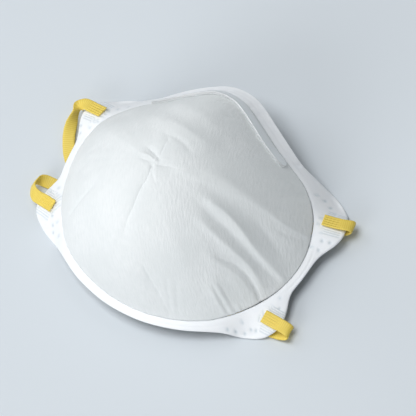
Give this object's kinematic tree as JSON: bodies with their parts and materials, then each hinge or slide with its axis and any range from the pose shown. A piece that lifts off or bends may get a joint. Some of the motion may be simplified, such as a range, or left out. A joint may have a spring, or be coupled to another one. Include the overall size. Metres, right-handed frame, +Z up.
{
  "type": "disposable respirator",
  "caption": "Disposable moulded-cup respirator resting open side down, with a welded edge flange and corner tabs, a bendable metal nose strip and flat elastic head straps.",
  "frame": {"origin": "under the middle of the mask, on the surface that it rests on", "axes": "+X from cheek to cheek, +Y towards the nose, +Z up through the crown of the cup"},
  "size_m": [0.1566, 0.1133, 0.0568],
  "materials": {
    "cup_felt": "needled polyester felt, moulded, matt white",
    "flange_web": "layers welded flat, satin white with a fine embossed pattern",
    "nose_metal": "soft bare metal strip with a rolled surface",
    "strap_elastic": "flat elastic band, yellow, satin"
  },
  "bodies": {
    "root": {"cup_shell": "cup_felt", "edge_flange": "flange_web", "nose_strip": "nose_metal", "upper_strap": "strap_elastic", "lower_strap": "strap_elastic"}
  },
  "joints": []
}
